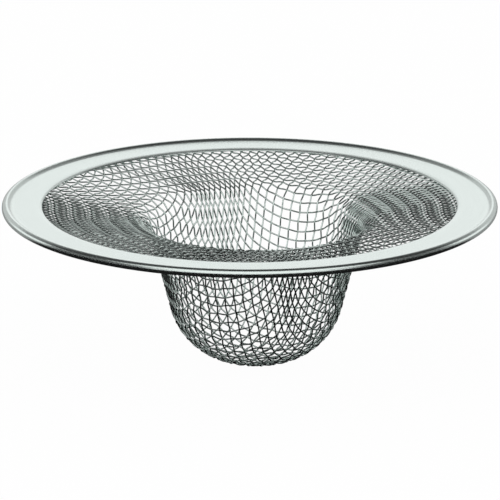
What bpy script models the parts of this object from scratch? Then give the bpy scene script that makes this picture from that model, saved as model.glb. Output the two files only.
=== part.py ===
"""A bathtub drain strainer: a basket pressed from woven steel wire, held at its edge in a folded rim ring.

Metres, +Z up. The origin is under the middle of the rim, on the surface that the basket stands on.
"""

import itertools
import math

import bpy
import numpy as np
from mathutils import Matrix, Vector

MM = 0.001

# The rim ring, one strip of sheet steel
RIM_DIAMETER = 70.0 * MM
RIM_WIDTH = 5.7 * MM  # from the outside of the bead to the inner edge of the flat
SHEET = 0.23 * MM
BEAD_RADIUS = 0.62 * MM
BEAD_RISE = 0.32 * MM  # how far the bead stands above the flat
CREASE_BEND = 1.55 * MM  # between the flat and the bead
HEM_WIDTH = 2.7 * MM  # from the outside of the bead to the inner edge of the fold underneath
RIM_STEPS = 72
BEAD_STEPS = 9
CREASE_STEPS = 2

# The wires
WIRE_DIAMETER = 0.23 * MM
WIRE_GAP = 0.06 * MM  # between two wires where they cross
HEM_GAP = 0.03 * MM  # between a wire and the sheet above or below it
END_GAP = 0.1 * MM  # between the ends of the wires and the bead

# The pressed shape, at the middle of the mesh's thickness
BASKET_DEPTH = 22.18 * MM  # from the mesh in the hem down to the floor of the basket
FLOOR_RADIUS = 10.0 * MM  # where the line of the wall would meet the floor
FLOOR_BEND = 10.2 * MM
WALL_DRAFT = math.radians(14.5)
LIP_BEND = 3.8 * MM
DISH_SLOPE = math.radians(6.2)
DISH_BEND = 3.0 * MM
DISH_MARGIN = 0.5 * MM  # how far outside the inner edge of the flat the mesh starts to slope
BASKET_SHIFT = 0.9 * MM  # the basket is pressed a little to one side of the rim's middle
OUTLINE_STEP = 0.15 * MM

# The weave. Pressing leans its squares into diamonds halfway between the directions of the wires, and stretches
# it a little where the wall meets the floor.
WEAVE_TURN = math.radians(-25.2)
WIRE_COUNT_TO_FLAT = 31  # real wires from the middle one out to the inner edge of the flat
REAL_PER_MODELLED = 2  # a modelled wire stands for this many real ones
WIRES_OUT = 14  # modelled wires on each side of the middle one
WALL_STRETCH = 0.01  # at its most, along the slope
GIRTH_STRETCH = 0.08  # at its most, across the slope
STRETCH_MIDDLE = 15.0 * MM  # where it is most, measured along the mesh from the middle of the floor
STRETCH_REACH = 2.8 * MM
SOLVER_STEPS = 60
SOLVER_STRIDE = 1 / 3  # the longest step, in wire spacings
SOLVER_NUDGE = 1e-4  # in wire spacings
SOLVER_CLOSE = 1e-6  # in wire spacings

RIM_RADIUS = RIM_DIAMETER / 2
FLAT_INNER = RIM_RADIUS - RIM_WIDTH
HEM_INNER = RIM_RADIUS - HEM_WIDTH
BEAD_MIDDLE = RIM_RADIUS - BEAD_RADIUS
MESH_EDGE = BEAD_MIDDLE - BEAD_RADIUS - END_GAP
CROSSING_RISE = (WIRE_DIAMETER + WIRE_GAP) / 2
MESH_THICKNESS = WIRE_DIAMETER + 2 * CROSSING_RISE
THROAT = MESH_THICKNESS + 2 * HEM_GAP

# Heights of the middles of the mesh and of the sheet. The lowest wires of the floor touch z = 0.
FLOOR_HEIGHT = MESH_THICKNESS / 2
EDGE_HEIGHT = FLOOR_HEIGHT + BASKET_DEPTH
FLAT_HEIGHT = EDGE_HEIGHT + (THROAT + SHEET) / 2
HEM_HEIGHT = EDGE_HEIGHT - (THROAT + SHEET) / 2
BEAD_HEIGHT = FLAT_HEIGHT + SHEET / 2 + BEAD_RISE - BEAD_RADIUS


def clear_scene():
    for thing in list(bpy.data.objects):
        bpy.data.objects.remove(thing, do_unlink=True)


def steel(name, colour, roughness):
    material = bpy.data.materials.new(name)
    material.use_nodes = True
    material.diffuse_color = (*colour, 1.0)
    shader = material.node_tree.nodes["Principled BSDF"]
    shader.inputs["Base Color"].default_value = (*colour, 1.0)
    shader.inputs["Metallic"].default_value = 1.0
    shader.inputs["Roughness"].default_value = roughness
    return material


def placed(thing, group, parent):
    group.objects.link(thing)
    thing.parent = parent
    return thing


def arc(centre, radius, first, turn, steps):
    """Points on an arc of an outline, from the angle first and on through turn."""
    angles = [first + turn * k / steps for k in range(steps + 1)]
    return [centre + radius * Vector((math.cos(a), math.sin(a))) for a in angles]


def rounded(corners, bends):
    """An open outline whose inner corners are arcs of the given bend radii."""
    points = [corners[0]]
    for before, corner, after, radius in zip(corners, corners[1:], corners[2:], bends):
        come = (corner - before).normalized()
        go = (after - corner).normalized()
        turn = math.atan2(come.x * go.y - come.y * go.x, come.dot(go))
        spoke = Vector((-come.y, come.x)) * math.copysign(radius, turn)
        centre = corner - come * radius * math.tan(abs(turn) / 2) + spoke
        steps = max(2, math.ceil(radius * abs(turn) / OUTLINE_STEP))
        points += arc(centre, radius, math.atan2(-spoke.y, -spoke.x), turn, steps)
    return [*points, corners[-1]]


def rim_ring(group, parent):
    """The sheet's flat, its bead and the hem that folds back under the edge of the mesh, turned as one strip."""
    radius = BEAD_RADIUS - SHEET / 2
    bead = Vector((BEAD_MIDDLE, BEAD_HEIGHT))
    rise = FLAT_HEIGHT + CREASE_BEND - BEAD_HEIGHT
    run = math.sqrt((radius + CREASE_BEND) ** 2 - rise**2)
    crease = bead + Vector((-run, rise))
    meet = math.atan2(-rise, run)  # the direction from the middle of the crease's bend to the middle of the bead
    outline = [
        Vector((FLAT_INNER, FLAT_HEIGHT)),
        *arc(crease, CREASE_BEND, -math.pi / 2, meet + math.pi / 2, CREASE_STEPS),
        *arc(bead, radius, meet + math.pi, -meet - 3 * math.pi / 2, BEAD_STEPS)[1:],
        Vector((MESH_EDGE + END_GAP / 2, HEM_HEIGHT)),
        Vector((HEM_INNER, HEM_HEIGHT)),
    ]
    mesh = bpy.data.meshes.new("rim_ring")
    edges = [(k, k + 1) for k in range(len(outline) - 1)]
    mesh.from_pydata([(p.x, 0, p.y) for p in outline], edges, [])
    ring = placed(bpy.data.objects.new("rim_ring", mesh), group, parent)
    mesh.materials.append(steel("rim_steel", (0.72, 0.76, 0.74), 0.32))
    turned = ring.modifiers.new("Turned", "SCREW")
    turned.steps = turned.render_steps = RIM_STEPS
    turned.use_merge_vertices = True
    turned.merge_threshold = SHEET / 10
    turned.use_smooth_shade = True
    sheet = ring.modifiers.new("Sheet", "SOLIDIFY")
    sheet.thickness = SHEET
    sheet.offset = 0
    sheet.use_even_offset = True
    return ring


class Bowl:
    """The surface that the mesh is pressed to: an outline turned about the vertical."""

    def __init__(self):
        wall = math.tan(WALL_DRAFT)
        dish = math.tan(DISH_SLOPE)
        dish_edge = FLAT_INNER + DISH_MARGIN
        lip_rise = (BASKET_DEPTH - dish * (dish_edge - FLOOR_RADIUS)) / (1 - wall * dish)
        lip = Vector((FLOOR_RADIUS + wall * lip_rise, FLOOR_HEIGHT + lip_rise))
        corners = [
            Vector((0, FLOOR_HEIGHT)),
            Vector((FLOOR_RADIUS, FLOOR_HEIGHT)),
            lip,
            Vector((dish_edge, EDGE_HEIGHT)),
            Vector((RIM_DIAMETER, EDGE_HEIGHT)),  # well past the edge, for the crossings outside it
        ]
        outline = rounded(corners, [FLOOR_BEND, LIP_BEND, DISH_BEND])
        self.radii, self.heights = np.array([tuple(p) for p in outline]).T
        runs, rises = np.diff(self.radii), np.diff(self.heights)
        lengths = np.hypot(runs, rises)
        self.slopes = np.arctan2(rises, runs)
        self.along = np.concatenate([[0], np.cumsum(lengths)])
        self.middles = (self.along[1:] + self.along[:-1]) / 2
        self.lip_along, self.dish_along = np.interp([lip.x, dish_edge], self.radii, self.along)
        flat_lengths = lengths / (1 + WALL_STRETCH * self.stretch(self.middles))
        self.flat_along = np.concatenate([[0], np.cumsum(flat_lengths)])
        self.spacing = np.interp(FLAT_INNER, self.radii, self.flat_along) / WIRE_COUNT_TO_FLAT

    def stretch(self, along):
        """The share of the most stretch that the mesh has at a distance from the middle of its floor."""
        return np.exp(-(((along - STRETCH_MIDDLE) / STRETCH_REACH) ** 2))

    def place(self, x, y):
        """The bowl at (x, y): its height, the distance along it from the middle, and its slope."""
        radius = math.hypot(x, y)
        height = np.interp(radius, self.radii, self.heights)
        along = np.interp(radius, self.radii, self.along)
        return height, along, np.interp(along, self.middles, self.slopes)

    def errors(self, x, y, starts):
        """How much further (x, y) is from each start, over the bowl, than one spacing of the stretched mesh."""
        height, along, slope = self.place(x, y)
        stretch = self.stretch(along)
        found = []
        for start in starts:
            step = (x - start[0], y - start[1], height - self.place(*start)[0])
            length = math.hypot(*step)
            outward = (step[0] * x + step[1] * y) / math.hypot(x, y)
            uphill = (outward * math.cos(slope) + step[2] * math.sin(slope)) / length
            most = GIRTH_STRETCH + (WALL_STRETCH - GIRTH_STRETCH) * uphill**2
            found.append(length - self.spacing * (1 + most * stretch))
        return np.array(found)

    def next_crossing(self, first, second, behind):
        """The crossing one spacing on from two others, away from the one behind them, by Newton's method."""
        x = first[0] + second[0] - behind[0]
        y = first[1] + second[1] - behind[1]
        nudge = self.spacing * SOLVER_NUDGE
        for _ in range(SOLVER_STEPS):
            errors = self.errors(x, y, (first, second))
            if abs(errors).max() < self.spacing * SOLVER_CLOSE:
                break
            by_x = (self.errors(x + nudge, y, (first, second)) - errors) / nudge
            by_y = (self.errors(x, y + nudge, (first, second)) - errors) / nudge
            move = np.linalg.lstsq(np.column_stack([by_x, by_y]), errors, rcond=None)[0]
            move *= min(1, self.spacing * SOLVER_STRIDE / math.hypot(*move))
            x -= move[0]
            y -= move[1]
        return float(x), float(y)

    def crossings(self):
        """Where the real wires cross, seen from above, by the numbers of the two wires from the middle."""
        beyond = MESH_EDGE + (REAL_PER_MODELLED + 1) * self.spacing
        found = {(0, 0): (0.0, 0.0)}
        number = 0
        while found[number, 0][0] < beyond:
            number += 1
            radius = float(np.interp(number * self.spacing, self.flat_along, self.radii))
            found[number, 0] = (radius, 0.0)
            found[0, number] = (0.0, radius)
        for i in range(1, number):
            for j in range(1, number):
                first, second = found.get((i - 1, j)), found.get((i, j - 1))
                if not first or not second or min(math.hypot(*first), math.hypot(*second)) > beyond:
                    break
                found[i, j] = self.next_crossing(first, second, found[i - 1, j - 1])
        for _ in range(3):
            found |= {(-j, i): (-y, x) for (i, j), (x, y) in found.items()}
        return found

    def wire_point(self, x, y, side):
        """The middle of a wire where it crosses another at (x, y), over it if side is 1 and under it if -1."""
        height, along, slope = self.place(x, y)
        outward = Vector((x, y, 0)).normalized()
        normal = Vector((0, 0, math.cos(slope))) - outward * math.sin(slope)
        point = Vector((x, y, height)) + normal * side * CROSSING_RISE
        share = min(1, max(0, (self.dish_along - along) / (self.dish_along - self.lip_along)))
        shift = Vector((BASKET_SHIFT * share**2 * (3 - 2 * share), 0, 0))
        return Matrix.Rotation(WEAVE_TURN, 3, "Z") @ point + shift


def crossing_on(bowl, crossings, number, k, crosswise):
    """A modelled wire's k-th crossing from its middle: its distance from the bowl's axis, and the wire's point."""
    real = (number * REAL_PER_MODELLED, k * REAL_PER_MODELLED)
    x, y = crossings[real if crosswise else real[::-1]]
    side = 1 if (number + k + crosswise) % 2 else -1
    return math.hypot(x, y), bowl.wire_point(x, y, side)


def half_wire(bowl, crossings, number, crosswise, way):
    """A modelled wire's points on one side of its middle crossing, out to its end in the hem."""
    points = []
    inner, last = crossing_on(bowl, crossings, number, 0, crosswise)
    for k in itertools.count(1):
        radius, point = crossing_on(bowl, crossings, number, way * k, crosswise)
        if radius > MESH_EDGE:
            break
        points.append(point)
        inner, last = radius, point
    end = last.lerp(point, (MESH_EDGE - inner) / (radius - inner))
    if points and (end - last).length < WIRE_DIAMETER:
        points.pop()
    return [*points, end]


def wire(name, points, material, group, parent):
    """One wire as a tube through its crossings, placed by its middle point."""
    middle = points[len(points) // 2]
    curve = bpy.data.curves.new(name, "CURVE")
    curve.dimensions = "3D"
    curve.bevel_depth = WIRE_DIAMETER / 2
    curve.bevel_resolution = 0
    curve.use_fill_caps = True
    curve.materials.append(material)
    spline = curve.splines.new("POLY")
    spline.points.add(len(points) - 1)
    for slot, point in zip(spline.points, points):
        slot.co = (*(point - middle), 1)
    thing = placed(bpy.data.objects.new(name, curve), group, parent)
    thing.location = middle
    return thing


def woven_wires(group, parent):
    """The two families of wires, each going over and under the other by turns."""
    bowl = Bowl()
    crossings = bowl.crossings()
    families = (
        ("warp_wire", steel("warp_steel", (0.62, 0.66, 0.64), 0.28)),
        ("weft_wire", steel("weft_steel", (0.58, 0.62, 0.60), 0.30)),
    )
    for crosswise, (family, material) in enumerate(families):
        for number in range(-WIRES_OUT, WIRES_OUT + 1):
            halves = [half_wire(bowl, crossings, number, crosswise, way) for way in (-1, 1)]
            middle = crossing_on(bowl, crossings, number, 0, crosswise)[1]
            points = [*reversed(halves[0]), middle, *halves[1]]
            wire(f"{family}_{number + WIRES_OUT + 1:02d}", points, material, group, parent)


def build_strainer():
    clear_scene()
    group = bpy.data.collections.new("bathtub_drain_strainer")
    bpy.context.scene.collection.children.link(group)
    axis = bpy.data.objects.new("strainer_axis", None)
    group.objects.link(axis)
    rim_ring(group, axis)
    woven_wires(group, axis)


build_strainer()
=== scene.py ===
"""A bathtub drain strainer with all its wires, its folded rim ring, and a plain studio round it.

Metres, +Z up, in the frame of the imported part: the strainer stands at the origin, on z = 0.
"""

import math

import bpy
import numpy as np
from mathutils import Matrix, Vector


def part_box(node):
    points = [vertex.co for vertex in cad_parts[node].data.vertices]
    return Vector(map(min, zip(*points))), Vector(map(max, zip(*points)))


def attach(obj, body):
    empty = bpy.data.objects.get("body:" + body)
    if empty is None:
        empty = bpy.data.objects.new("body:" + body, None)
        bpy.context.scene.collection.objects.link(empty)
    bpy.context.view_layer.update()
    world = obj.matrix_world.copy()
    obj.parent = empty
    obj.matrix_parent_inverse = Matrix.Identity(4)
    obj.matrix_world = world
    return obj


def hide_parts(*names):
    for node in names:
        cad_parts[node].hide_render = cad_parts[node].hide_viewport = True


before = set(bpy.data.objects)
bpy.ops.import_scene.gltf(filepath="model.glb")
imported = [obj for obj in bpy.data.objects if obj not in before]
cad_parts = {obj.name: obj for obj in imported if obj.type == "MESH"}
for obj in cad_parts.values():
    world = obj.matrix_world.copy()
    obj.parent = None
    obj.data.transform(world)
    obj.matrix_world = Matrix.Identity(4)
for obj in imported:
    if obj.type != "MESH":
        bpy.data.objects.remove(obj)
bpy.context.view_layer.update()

MM = 0.001

# The rim ring, one strip of sheet steel
RIM_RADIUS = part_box("rim_ring")[1].x
RIM_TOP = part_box("rim_ring")[1].z
RIM_WIDTH = 5.7 * MM  # from the outside of the bead to the inner edge of the flat
SHEET = 0.23 * MM
BEAD_RADIUS = 0.62 * MM
HEM_WIDTH = 2.7 * MM  # from the outside of the bead to the inner edge of the fold underneath
CREASE_BEND = 1.55 * MM  # between the flat and the bead
LIP_RUN = 1.0 * MM  # the inner edge of the flat dips over this width
LIP_DROP = 0.16 * MM
RIM_STEPS = 360
BEAD_STEPS = 28
BEND_STEPS = 8
FLAT_STEPS = 16

# The wires
SOLID_WIRE = 0.23 * MM  # across one of the solids' square wires
SOLID_GAP = 0.06 * MM  # between two of them where they cross
WIRE_DIAMETER = 0.22 * MM  # of the round wires made here
WIRE_GAP = 0.02 * MM
HEM_GAP = 0.03 * MM  # between the mesh and the sheet above or below it
END_GAP = 0.1 * MM  # between the ends of the wires and the bead
WIRE_SAMPLES = 6  # points from one crossing to the next
WIRE_ROUNDNESS = 2

# The pressed shape, at the middle of the mesh's thickness
BASKET_DEPTH = 22.18 * MM  # from the mesh in the hem down to the floor of the basket
FLOOR_RADIUS = 10.0 * MM  # where the line of the wall would meet the floor
FLOOR_BEND = 10.2 * MM
WALL_DRAFT = math.radians(14.5)
LIP_BEND = 3.8 * MM
DISH_SLOPE = math.radians(6.2)
DISH_BEND = 3.0 * MM
DISH_MARGIN = 0.5 * MM  # how far outside the inner edge of the flat the mesh starts to slope
BASKET_SHIFT = 0.9 * MM  # to one side of the rim's middle
OUTLINE_STEP = 0.15 * MM

# The weave
WEAVE_TURN = math.radians(-25.2)
WIRE_COUNT_TO_FLAT = 31  # from the middle wire out to the inner edge of the flat
WIRES_OUT = 34  # on each side of the middle one, the last ones inside the hem
REAL_PER_MODELLED = 2  # the solids have every second wire
MODELLED_OUT = 14  # solids on each side of the middle one
WALL_STRETCH = 0.01  # at its most, along the slope
GIRTH_STRETCH = 0.08  # at its most, across the slope
STRETCH_MIDDLE = 15.0 * MM  # where it is most, measured along the mesh from the middle of the floor
STRETCH_REACH = 2.8 * MM
SOLVER_STEPS = 60
SOLVER_STRIDE = 1 / 3  # the longest step, in wire spacings
SOLVER_NUDGE = 1e-4  # in wire spacings
SOLVER_CLOSE = 1e-6  # in wire spacings
UNEVENNESS = 0.006 * MM  # how far a crossing has slipped from its place

# The finishes, each colour from its darkest to its lightest
RIM_COLOURS = ((0.75, 0.83, 0.80), (0.81, 0.89, 0.86))
RIM_ROUGHNESS = (0.18, 0.24)
RIM_SMUDGE = 0.04  # what the drift of tone adds to the roughness
RIM_RINGS = 60.0  # how finely the spun rings repeat, outward and in height
RIM_RING_TURN = 0.02  # and how little around the rim
RIM_GRAIN_SCALE = 180.0
RIM_DRIFT_SCALE = 45.0
RIM_BUMP = 0.02 * MM
RIM_BUMP_STRENGTH = 0.12
WARP_COLOURS = ((0.79, 0.89, 0.85), (0.86, 0.97, 0.93))
WARP_ROUGHNESS = 0.04
WEFT_COLOURS = ((0.76, 0.85, 0.81), (0.82, 0.93, 0.89))
WEFT_ROUGHNESS = 0.05
WIRE_ROUGHNESS_SPREAD = 0.02
WIRE_TARNISH_SCALE = 900.0
WIRE_GRAIN_SCALE = 9000.0
WIRE_BUMP = 0.01 * MM
WIRE_BUMP_STRENGTH = 0.02
INSIDE_POINT = Vector((0, 0, 30 * MM))  # the side of a wire that faces away from here is painted darker, as shade
OUTSIDE_PAINTED_SHADE = 0.3  # how much of its colour that side keeps under the painted shade
PAINTED_SHADE_BLEND = 0.3  # how soon the painted shade sets in from one side to the other, by the cosine of the angle

FLAT_INNER = RIM_RADIUS - RIM_WIDTH
HEM_INNER = RIM_RADIUS - HEM_WIDTH
BEAD_MIDDLE = RIM_RADIUS - BEAD_RADIUS
MESH_EDGE = BEAD_MIDDLE - BEAD_RADIUS - END_GAP
CRIMP = (WIRE_DIAMETER + WIRE_GAP) / 2
MESH_THICKNESS = 2 * SOLID_WIRE + SOLID_GAP
THROAT = MESH_THICKNESS + 2 * HEM_GAP
FLOOR_HEIGHT = MESH_THICKNESS / 2
EDGE_HEIGHT = FLOOR_HEIGHT + BASKET_DEPTH
FLAT_HEIGHT = EDGE_HEIGHT + (THROAT + SHEET) / 2
HEM_HEIGHT = EDGE_HEIGHT - (THROAT + SHEET) / 2
BEAD_HEIGHT = RIM_TOP - BEAD_RADIUS

# The studio
CAMERA_ELEVATION = math.radians(16.0)
CAMERA_DISTANCE = 1200 * MM
CAMERA_AIM = Vector((0.04 * MM, 0, 16.17 * MM))
CAMERA_LENS = 611  # on a 36 mm sensor
WORLD_LEVEL = 0.75  # what lights the scene, where white is 1
FLOOR_SIZE = 4.0
FLOOR_WHITE = 0.97  # the share of the floor's look that is plain white and takes no shadow
CARD_SIZE = 1.2
CARD_LIFT = 0.01 * MM
DARK_FLOOR_END = 0.015  # the floor that the steel mirrors is dark in front of here
FRONT_TONE = 0.01
REAR_TONE = 0.3
CEILING_SIZE = Vector((2.1, 1.67))
CEILING_PLACE = (0, -0.415, 0.5)
CEILING_TONE = 0.04
CEILING_EDGE_SIZE = Vector((2.1, 0.45))
CEILING_EDGE_PLACE = (0, 0.645, 0.5)
CEILING_EDGE_TONE = 0.25
SOFTBOX_SIZE = Vector((1.4, 1.04))
SOFTBOX_PLACE = Vector((0, -0.73, 0.49))
SOFTBOX_TONE = 1.0
SIDE_CARD_HEIGHTS = (0.24, 0.6)  # on each side a low card and a taller one behind it
SIDE_CARD_TONES = (0.02, 0.18)
SIDE_CARD_DEPTH = 1.3
SIDE_CARD_OUT = 1.1
SIDE_CARD_STEP = 0.01  # how far the taller card stands behind the lower one
SIDE_CARD_BACK = -0.35
GREY_CARD_SIZE = Vector((0.6, 0.86))  # height and width
GREY_CARD_OUT = 0.57
GREY_CARD_BACK = 1.15
GREY_CARD_TONE = 0.6
LAMP_SIZE = 0.8
LAMP_PLACE = Vector((-0.2, -0.5, 0.8))
LAMP_POWER = 1.6


def arc(centre, radius, first, last, steps):
    """Points on an arc of an outline, from one angle to another."""
    angles = np.linspace(first, last, steps + 1)
    return np.column_stack([centre[0] + radius * np.cos(angles), centre[1] + radius * np.sin(angles)])


def rounded(corners, bends):
    """An open outline whose inner corners are arcs of the given bend radii."""
    points = [corners[:1]]
    for before, corner, after, radius in zip(corners, corners[1:], corners[2:], bends):
        come = (corner - before) / math.hypot(*(corner - before))
        go = (after - corner) / math.hypot(*(after - corner))
        turn = math.atan2(come[0] * go[1] - come[1] * go[0], come @ go)
        spoke = np.array([-come[1], come[0]]) * math.copysign(radius, turn)
        centre = corner - come * radius * math.tan(abs(turn) / 2) + spoke
        steps = max(2, math.ceil(radius * abs(turn) / OUTLINE_STEP))
        first = math.atan2(-spoke[1], -spoke[0])
        points.append(arc(centre, radius, first, first + turn, steps))
    return np.vstack([*points, corners[-1:]])


def wrapped(line, half):
    """A closed outline round an open line, at a distance of half on each side, with round ends."""
    along = np.gradient(line, axis=0)
    along /= np.linalg.norm(along, axis=1)[:, None]
    left = np.column_stack([-along[:, 1], along[:, 0]])
    start, end = (math.atan2(*left[k][::-1]) for k in (0, -1))
    front = arc(line[-1], half, end, end - math.pi, BEND_STEPS)[1:-1]
    back = arc(line[0], half, start + math.pi, start, BEND_STEPS)[1:-1]
    return np.vstack([line + half * left, front, (line - half * left)[::-1], back])


def rim_line():
    """The middle of the sheet, from the flat's inner edge over the bead to the hem's inner edge."""
    radius = BEAD_RADIUS - SHEET / 2
    bead = np.array([BEAD_MIDDLE, BEAD_HEIGHT])
    bend_height = FLAT_HEIGHT + CREASE_BEND
    run = math.sqrt((radius + CREASE_BEND) ** 2 - (bend_height - BEAD_HEIGHT) ** 2)
    crease = np.array([BEAD_MIDDLE - run, bend_height])
    meet = math.atan2(*(bead - crease)[::-1])
    flat = np.linspace([FLAT_INNER + SHEET / 2, FLAT_HEIGHT], [crease[0], FLAT_HEIGHT], FLAT_STEPS)[:-1]
    flat[:, 1] -= LIP_DROP * np.clip(1 - (flat[:, 0] - FLAT_INNER) / LIP_RUN, 0, 1) ** 2
    hem_radii = np.linspace(MESH_EDGE + END_GAP / 2, HEM_INNER + SHEET / 2, FLAT_STEPS)
    hem = np.column_stack([hem_radii, np.full(FLAT_STEPS, HEM_HEIGHT)])
    return np.vstack([
        flat,
        arc(crease, CREASE_BEND, -math.pi / 2, meet, BEND_STEPS),
        arc(bead, radius, meet + math.pi, -math.pi / 2, BEAD_STEPS)[1:],
        hem,
    ])


def folded_rim(material):
    """The rim ring: its outline turned about the axis."""
    outline = wrapped(rim_line(), SHEET / 2)
    count = len(outline)
    mesh = bpy.data.meshes.new("folded_rim")
    mesh.from_pydata([(r, 0, z) for r, z in outline], [(k, (k + 1) % count) for k in range(count)], [])
    mesh.materials.append(material)
    ring = bpy.data.objects.new("folded_rim", mesh)
    bpy.context.scene.collection.objects.link(ring)
    turned = ring.modifiers.new("Turned", "SCREW")
    turned.steps = turned.render_steps = RIM_STEPS
    turned.use_merge_vertices = True
    turned.merge_threshold = SHEET / 100
    turned.use_smooth_shade = True
    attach(ring, "root")
    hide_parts("rim_ring")


class Bowl:
    """The surface that the mesh is pressed to: an outline turned about the vertical."""

    def __init__(self):
        wall = math.tan(WALL_DRAFT)
        dish = math.tan(DISH_SLOPE)
        dish_edge = FLAT_INNER + DISH_MARGIN
        lip_rise = (BASKET_DEPTH - dish * (dish_edge - FLOOR_RADIUS)) / (1 - wall * dish)
        lip = FLOOR_RADIUS + wall * lip_rise
        corners = np.array([
            (0, FLOOR_HEIGHT),
            (FLOOR_RADIUS, FLOOR_HEIGHT),
            (lip, FLOOR_HEIGHT + lip_rise),
            (dish_edge, EDGE_HEIGHT),
            (2 * RIM_RADIUS, EDGE_HEIGHT),
        ])
        outline = rounded(corners, [FLOOR_BEND, LIP_BEND, DISH_BEND])
        self.radii, self.heights = outline.T
        runs, rises = np.diff(self.radii), np.diff(self.heights)
        lengths = np.hypot(runs, rises)
        self.slopes = np.arctan2(rises, runs)
        self.along = np.concatenate([[0], np.cumsum(lengths)])
        self.middles = (self.along[1:] + self.along[:-1]) / 2
        self.lip_along, self.dish_along = np.interp([lip, dish_edge], self.radii, self.along)
        flat_lengths = lengths / (1 + WALL_STRETCH * self.stretch(self.middles))
        self.flat_along = np.concatenate([[0], np.cumsum(flat_lengths)])
        self.spacing = np.interp(FLAT_INNER, self.radii, self.flat_along) / WIRE_COUNT_TO_FLAT

    def stretch(self, along):
        """The share of the most stretch that the mesh has at a distance from the middle of its floor."""
        return np.exp(-(((along - STRETCH_MIDDLE) / STRETCH_REACH) ** 2))

    def place(self, x, y):
        """The bowl at (x, y): its height, the distance along it from the middle, and its slope."""
        radius = np.hypot(x, y)
        height = np.interp(radius, self.radii, self.heights)
        along = np.interp(radius, self.radii, self.along)
        return height, along, np.interp(along, self.middles, self.slopes)

    def errors(self, x, y, starts):
        """How much further (x, y) is from each start than one spacing of the stretched mesh."""
        height, along, slope = self.place(x, y)
        stretch = self.stretch(along)
        found = []
        for start in starts:
            step = (x - start[0], y - start[1], height - self.place(*start)[0])
            length = math.hypot(*step)
            outward = (step[0] * x + step[1] * y) / math.hypot(x, y)
            uphill = (outward * math.cos(slope) + step[2] * math.sin(slope)) / length
            most = GIRTH_STRETCH + (WALL_STRETCH - GIRTH_STRETCH) * uphill**2
            found.append(length - self.spacing * (1 + most * stretch))
        return np.array(found)

    def next_crossing(self, first, second, behind):
        """The crossing one spacing on from two others and away from the one behind, by Newton's method."""
        x = first[0] + second[0] - behind[0]
        y = first[1] + second[1] - behind[1]
        nudge = self.spacing * SOLVER_NUDGE
        for _ in range(SOLVER_STEPS):
            errors = self.errors(x, y, (first, second))
            if abs(errors).max() < self.spacing * SOLVER_CLOSE:
                break
            by_x = (self.errors(x + nudge, y, (first, second)) - errors) / nudge
            by_y = (self.errors(x, y + nudge, (first, second)) - errors) / nudge
            move = np.linalg.lstsq(np.column_stack([by_x, by_y]), errors, rcond=None)[0]
            move *= min(1, self.spacing * SOLVER_STRIDE / math.hypot(*move))
            x -= move[0]
            y -= move[1]
        return float(x), float(y)

    def crossings(self):
        """Where the wires cross, seen from above, by the numbers of the two wires from the middle."""
        beyond = MESH_EDGE + (REAL_PER_MODELLED + 1) * self.spacing
        found = {(0, 0): (0.0, 0.0)}
        number = 0
        while found[number, 0][0] < beyond:
            number += 1
            radius = float(np.interp(number * self.spacing, self.flat_along, self.radii))
            found[number, 0] = (radius, 0.0)
            found[0, number] = (0.0, radius)
        for i in range(1, number):
            for j in range(1, number):
                first, second = found.get((i - 1, j)), found.get((i, j - 1))
                if not first or not second or min(math.hypot(*first), math.hypot(*second)) > beyond:
                    break
                found[i, j] = self.next_crossing(first, second, found[i - 1, j - 1])
        for _ in range(3):
            found |= {(-j, i): (-y, x) for (i, j), (x, y) in found.items()}
        return found

    def lifted(self, flat, offset):
        """Points of the mesh over places seen from above, offset from the bowl, turned and shifted."""
        x, y = flat.T
        height, along, slope = self.place(x, y)
        radius = np.hypot(x, y)
        lean = offset * np.sin(slope) / np.maximum(radius, OUTLINE_STEP)
        x, y = x - lean * x, y - lean * y
        share = np.clip((self.dish_along - along) / (self.dish_along - self.lip_along), 0, 1)
        shift = BASKET_SHIFT * share**2 * (3 - 2 * share)
        c, s = math.cos(WEAVE_TURN), math.sin(WEAVE_TURN)
        return np.column_stack([c * x - s * y + shift, s * x + c * y, height + offset * np.cos(slope)])


def slipped(crossings):
    """The crossings, each a little out of its place."""
    random = np.random.default_rng(4)
    return {key: place + random.normal(0, UNEVENNESS, 2) for key, place in crossings.items()}


def between(points, samples):
    """A smooth line through the points, and the count of points passed at each of its places."""
    slopes = np.gradient(points, axis=0)
    passed = np.arange((len(points) - 1) * samples + 1) / samples
    k = np.minimum(passed.astype(int), len(points) - 2)
    t = (passed - k)[:, None]
    line = (
        (1 + 2 * t) * (1 - t) ** 2 * points[k]
        + t * (1 - t) ** 2 * slopes[k]
        + t * t * (3 - 2 * t) * points[k + 1]
        - t * t * (1 - t) * slopes[k + 1]
    )
    return line, passed


def strand_line(bowl, crossings, number, crosswise):
    """The middle line of one wire, over and under the others by turns, with its ends in the hem."""
    reach = max(i for i, _ in crossings)
    ks = [k for k in range(-reach, reach + 1) if (number, k) in crossings]
    met = [crossings[(number, k) if crosswise else (k, number)] for k in ks]
    flat, passed = between(np.array(met), WIRE_SAMPLES)
    held = np.hypot(*flat.T) <= MESH_EDGE
    offset = CRIMP * np.cos(math.pi * (passed + ks[0] + number + crosswise + 1))
    return bowl.lifted(flat[held], offset[held])


def strand(name, line, material):
    """One wire of the mesh as a round tube."""
    curve = bpy.data.curves.new(name, "CURVE")
    curve.dimensions = "3D"
    curve.bevel_depth = WIRE_DIAMETER / 2
    curve.bevel_resolution = WIRE_ROUNDNESS
    curve.use_fill_caps = True
    curve.materials.append(material)
    spline = curve.splines.new("POLY")
    spline.points.add(len(line) - 1)
    spline.points.foreach_set("co", np.column_stack([line, np.ones(len(line))]).ravel())
    spline.use_smooth = True
    wire = bpy.data.objects.new(name, curve)
    bpy.context.scene.collection.objects.link(wire)
    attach(wire, "root")
    return wire


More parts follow.
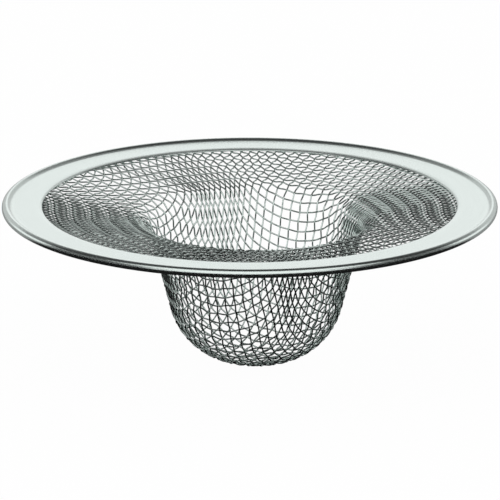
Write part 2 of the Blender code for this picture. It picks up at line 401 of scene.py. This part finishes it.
def woven_mesh(materials):
    """Both families of wires. A wire that the solids have stands for its solid."""
    bowl = Bowl()
    crossings = slipped(bowl.crossings())
    for crosswise, family in enumerate(("warp", "weft")):
        for number in range(-WIRES_OUT, WIRES_OUT + 1):
            line = strand_line(bowl, crossings, number, crosswise)
            wire = strand(f"{family}_strand_{number + WIRES_OUT + 1:02d}", line, materials[crosswise])
            modelled = number // REAL_PER_MODELLED
            if number % REAL_PER_MODELLED == 0 and abs(modelled) <= MODELLED_OUT:
                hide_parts(f"{family}_wire_{modelled + MODELLED_OUT + 1:02d}")


class Finish:
    """A steel material whose nodes are added one by one."""

    def __init__(self, name, colour, roughness):
        self.material = bpy.data.materials.new(name)
        self.material.use_nodes = True
        self.nodes = self.material.node_tree.nodes
        self.links = self.material.node_tree.links
        self.shader = self.nodes["Principled BSDF"]
        self.shader.inputs["Base Color"].default_value = (*colour, 1.0)
        self.shader.inputs["Metallic"].default_value = 1.0
        self.shader.inputs["Roughness"].default_value = roughness
        place = self.nodes.new("ShaderNodeTexCoord")
        self.coordinates = place.outputs["Object"]
        self.normal = place.outputs["Normal"]

    def node(self, kind, **inputs):
        made = self.nodes.new(kind)
        for name, value in inputs.items():
            self.feed(made.inputs[name], value)
        return made

    def feed(self, socket, value):
        if isinstance(value, bpy.types.NodeSocket):
            self.links.new(value, socket)
        else:
            socket.default_value = value

    def noise(self, vector, scale, detail=3.0):
        return self.node("ShaderNodeTexNoise", Vector=vector, Scale=scale, Detail=detail).outputs["Fac"]

    def spread(self, value, low, high, from_low=0.3, from_high=0.7):
        made = self.node("ShaderNodeMapRange", Value=value)
        made.inputs["From Min"].default_value = from_low
        made.inputs["From Max"].default_value = from_high
        made.inputs["To Min"].default_value = low
        made.inputs["To Max"].default_value = high
        return made.outputs["Result"]

    def maths(self, operation, first, second=0.0):
        made = self.nodes.new("ShaderNodeMath")
        made.operation = operation
        self.feed(made.inputs[0], first)
        self.feed(made.inputs[1], second)
        return made.outputs["Value"]

    def vectors(self, operation, first, second=(0, 0, 0)):
        made = self.nodes.new("ShaderNodeVectorMath")
        made.operation = operation
        self.feed(made.inputs[0], first)
        self.feed(made.inputs[1], second)
        return made

    def mixed(self, factor, first, second):
        made = self.nodes.new("ShaderNodeMix")
        made.data_type = "RGBA"
        self.feed(made.inputs["Factor"], factor)
        made.inputs["A"].default_value = (*first, 1.0)
        made.inputs["B"].default_value = (*second, 1.0)
        return made.outputs["Result"]


def rim_finish():
    """Satin sheet: faint spun rings, a slow drift of tone and the odd smudge."""
    steel = Finish("satin_rim_steel", RIM_COLOURS[0], RIM_ROUGHNESS[1])
    split = steel.node("ShaderNodeSeparateXYZ", Vector=steel.coordinates)
    x, y, z = (split.outputs[axis] for axis in "XYZ")
    squares = [steel.maths("MULTIPLY", side, side) for side in (x, y)]
    out = steel.maths("SQRT", steel.maths("ADD", *squares))
    turn = steel.maths("ARCTAN2", y, x)
    rings = steel.node("ShaderNodeCombineXYZ", X=steel.maths("MULTIPLY", out, RIM_RINGS))
    steel.feed(rings.inputs["Y"], steel.maths("MULTIPLY", turn, RIM_RING_TURN))
    steel.feed(rings.inputs["Z"], steel.maths("MULTIPLY", z, RIM_RINGS))
    grain = steel.noise(rings.outputs["Vector"], RIM_GRAIN_SCALE, 4.0)
    drift = steel.noise(steel.coordinates, RIM_DRIFT_SCALE)
    steel.feed(steel.shader.inputs["Base Color"], steel.mixed(steel.spread(drift, 0, 1), *RIM_COLOURS))
    roughness = steel.maths("ADD", steel.spread(grain, *RIM_ROUGHNESS), steel.spread(drift, 0, RIM_SMUDGE))
    steel.feed(steel.shader.inputs["Roughness"], roughness)
    bump = steel.node("ShaderNodeBump", Height=grain, Strength=RIM_BUMP_STRENGTH, Distance=RIM_BUMP)
    steel.feed(steel.shader.inputs["Normal"], bump.outputs["Normal"])
    return steel.material


def wire_finish(name, colours, roughness):
    """Drawn wire with a fine grain, darker where tarnished, and painted darker as shade on the side that
    faces the outside of the bowl.
    """
    steel = Finish(name, colours[0], roughness)
    tarnish = steel.noise(steel.coordinates, WIRE_TARNISH_SCALE)
    grain = steel.noise(steel.coordinates, WIRE_GRAIN_SCALE)
    away = steel.vectors("SUBTRACT", steel.coordinates, INSIDE_POINT).outputs["Vector"]
    out = steel.vectors("NORMALIZE", away).outputs["Vector"]
    facing = steel.vectors("DOT_PRODUCT", out, steel.normal).outputs["Value"]
    # painted shade: the side of each wire that faces away from the inside point is darkened
    tone = steel.spread(facing, 1, OUTSIDE_PAINTED_SHADE, -PAINTED_SHADE_BLEND, PAINTED_SHADE_BLEND)
    worn = steel.mixed(steel.spread(tarnish, 0, 1), *colours)
    steel.feed(steel.shader.inputs["Base Color"], steel.vectors("MULTIPLY", worn, tone).outputs["Vector"])
    smoothest, roughest = roughness - WIRE_ROUGHNESS_SPREAD, roughness + WIRE_ROUGHNESS_SPREAD
    steel.feed(steel.shader.inputs["Roughness"], steel.spread(grain, smoothest, roughest))
    bump = steel.node("ShaderNodeBump", Height=grain, Strength=WIRE_BUMP_STRENGTH, Distance=WIRE_BUMP)
    steel.feed(steel.shader.inputs["Normal"], bump.outputs["Normal"])
    return steel.material


def plane(name, size, place, colour):
    """A flat matt sheet of the studio, and its material."""
    bpy.ops.mesh.primitive_plane_add(size=size, location=place)
    sheet = bpy.context.object
    sheet.name = name
    paint = Finish(name, colour, 1.0)
    paint.shader.inputs["Metallic"].default_value = 0.0
    paint.shader.inputs["Specular IOR Level"].default_value = 0.0
    sheet.data.materials.append(paint.material)
    return sheet, paint


def looked_at(tree):
    """A socket that is 1 where the camera or the steel looks, and 0 for light on its way."""
    path = tree.nodes.new("ShaderNodeLightPath")
    seen = path.outputs["Is Camera Ray"]
    for kind in ("Is Glossy Ray", "Is Transmission Ray"):
        either = tree.nodes.new("ShaderNodeMath")
        either.operation = "MAXIMUM"
        tree.links.new(seen, either.inputs[0])
        tree.links.new(path.outputs[kind], either.inputs[1])
        seen = either.outputs["Value"]
    return seen


def white_floor():
    """A pale floor that looks white and keeps a faint shadow."""
    paint = plane("floor", FLOOR_SIZE, (0, 0, 0), (0.95, 0.95, 0.95))[1]
    white = paint.node("ShaderNodeEmission", Color=(1.0, 1.0, 1.0, 1.0), Strength=1.0)
    share = paint.maths("MULTIPLY", looked_at(paint.material.node_tree), FLOOR_WHITE)
    mix = paint.nodes.new("ShaderNodeMixShader")
    paint.links.new(share, mix.inputs[0])
    paint.links.new(paint.shader.outputs["BSDF"], mix.inputs[1])
    paint.links.new(white.outputs["Emission"], mix.inputs[2])
    paint.links.new(mix.outputs["Shader"], paint.nodes["Material Output"].inputs["Surface"])


def card(name, size, place, tone):
    """A card of an even tone that shows only in the steel, as the sides of a studio do."""
    sheet, paint = plane(name, size, place, (0, 0, 0))
    paint.shader.inputs["Emission Color"].default_value = (tone, tone, tone, 1.0)
    paint.shader.inputs["Emission Strength"].default_value = 1.0
    sheet.visible_camera = sheet.visible_diffuse = sheet.visible_shadow = False
    sheet.visible_transmission = False
    return sheet


def side_cards():
    """The cards left and right: dark ones beside the strainer and a grey one behind."""
    for name, side in (("left", -1), ("right", 1)):
        for out, (height, tone) in enumerate(zip(SIDE_CARD_HEIGHTS, SIDE_CARD_TONES)):
            place = (side * (SIDE_CARD_OUT + out * SIDE_CARD_STEP), SIDE_CARD_BACK, height / 2)
            dark = card(f"{name}_dark_card_{out + 1}", 1.0, place, tone)
            dark.scale = (height, SIDE_CARD_DEPTH, 1.0)
            dark.rotation_euler.y = math.pi / 2
        place = (side * GREY_CARD_OUT, GREY_CARD_BACK, GREY_CARD_SIZE.x / 2)
        grey = card(name + "_grey_card", 1.0, place, GREY_CARD_TONE)
        grey.scale = (GREY_CARD_SIZE.y, GREY_CARD_SIZE.x, 1.0)
        grey.rotation_euler.x = math.pi / 2


def soft_lamp():
    """The lamp that lights the strainer from the front and above."""
    lamp = bpy.data.lights.new("soft_lamp", "AREA")
    lamp.shape = "DISK"
    lamp.size = LAMP_SIZE
    lamp.energy = LAMP_POWER
    hung = bpy.data.objects.new("soft_lamp", lamp)
    hung.location = LAMP_PLACE
    hung.rotation_euler = (CAMERA_AIM - LAMP_PLACE).to_track_quat("-Z", "Y").to_euler()
    bpy.context.scene.collection.objects.link(hung)


def studio():
    """A white floor and a soft lamp, and the cards that the steel mirrors.

    The cards make the floor dark in front and grey behind, and the ceiling dark round a softbox, with more
    dark and grey ones at the sides.
    """
    white_floor()
    card("front_card", CARD_SIZE, (0, DARK_FLOOR_END - CARD_SIZE / 2, CARD_LIFT), FRONT_TONE)
    card("rear_card", CARD_SIZE, (0, DARK_FLOOR_END + CARD_SIZE / 2, CARD_LIFT), REAR_TONE)
    card("ceiling_card", 1.0, CEILING_PLACE, CEILING_TONE).scale = (*CEILING_SIZE, 1.0)
    card("ceiling_edge_card", 1.0, CEILING_EDGE_PLACE, CEILING_EDGE_TONE).scale = (*CEILING_EDGE_SIZE, 1.0)
    card("softbox_card", 1.0, SOFTBOX_PLACE, SOFTBOX_TONE).scale = (*SOFTBOX_SIZE, 1.0)
    side_cards()
    soft_lamp()


def white_world():
    """White where the camera or the steel looks, and a little less as a light."""
    world = bpy.data.worlds.new("white")
    bpy.context.scene.world = world
    world.use_nodes = True
    nodes, links = world.node_tree.nodes, world.node_tree.links
    level = nodes.new("ShaderNodeMapRange")
    links.new(looked_at(world.node_tree), level.inputs["Value"])
    level.inputs["To Min"].default_value = WORLD_LEVEL
    background = nodes["Background"]
    background.inputs["Color"].default_value = (1.0, 1.0, 1.0, 1.0)
    links.new(level.outputs["Result"], background.inputs["Strength"])


def camera():
    """The camera at the photograph's angle, level from side to side."""
    view = bpy.data.cameras.new("camera")
    view.lens = CAMERA_LENS
    view.clip_start = CAMERA_DISTANCE / 10
    view.clip_end = CAMERA_DISTANCE * 10
    back = Vector((0, -math.cos(CAMERA_ELEVATION), math.sin(CAMERA_ELEVATION)))
    seat = bpy.data.objects.new("camera", view)
    seat.location = CAMERA_AIM + back * CAMERA_DISTANCE
    seat.rotation_euler = (-back).to_track_quat("-Z", "Y").to_euler()
    bpy.context.scene.collection.objects.link(seat)
    bpy.context.scene.camera = seat


camera()
folded_rim(rim_finish())
woven_mesh([
    wire_finish("warp_wire_steel", WARP_COLOURS, WARP_ROUGHNESS),
    wire_finish("weft_wire_steel", WEFT_COLOURS, WEFT_ROUGHNESS),
])
studio()
white_world()
bpy.context.scene.view_settings.view_transform = "Standard"
